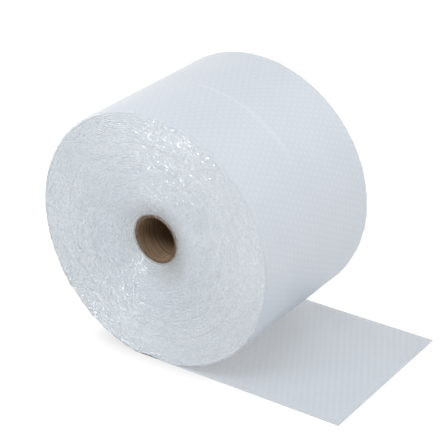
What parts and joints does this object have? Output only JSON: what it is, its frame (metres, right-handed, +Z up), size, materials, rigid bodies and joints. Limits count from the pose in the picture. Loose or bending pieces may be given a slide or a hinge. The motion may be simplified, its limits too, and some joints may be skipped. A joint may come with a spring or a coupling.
{
  "type": "bubble wrap roll",
  "caption": "Roll of clear bubble wrap on a paper core, lying on its side with the free end run out flat on the floor.",
  "frame": {"origin": "on the floor, straight below the roll's axis, at half the web's width", "axes": "+Z up, Y along the roll's axis and the core's bore, +X the way the free end of the web runs out"},
  "size_m": [0.5853, 0.305, 0.4478],
  "materials": {
    "bubble_film": "milky translucent film, smooth outer film with a faint grid of small air bubbles behind it",
    "core_board": "bare brown kraft board, spirally wound, matt"
  },
  "bodies": {
    "root": {"bubble_wrap": "bubble_film", "core_tube": "core_board"}
  },
  "joints": []
}
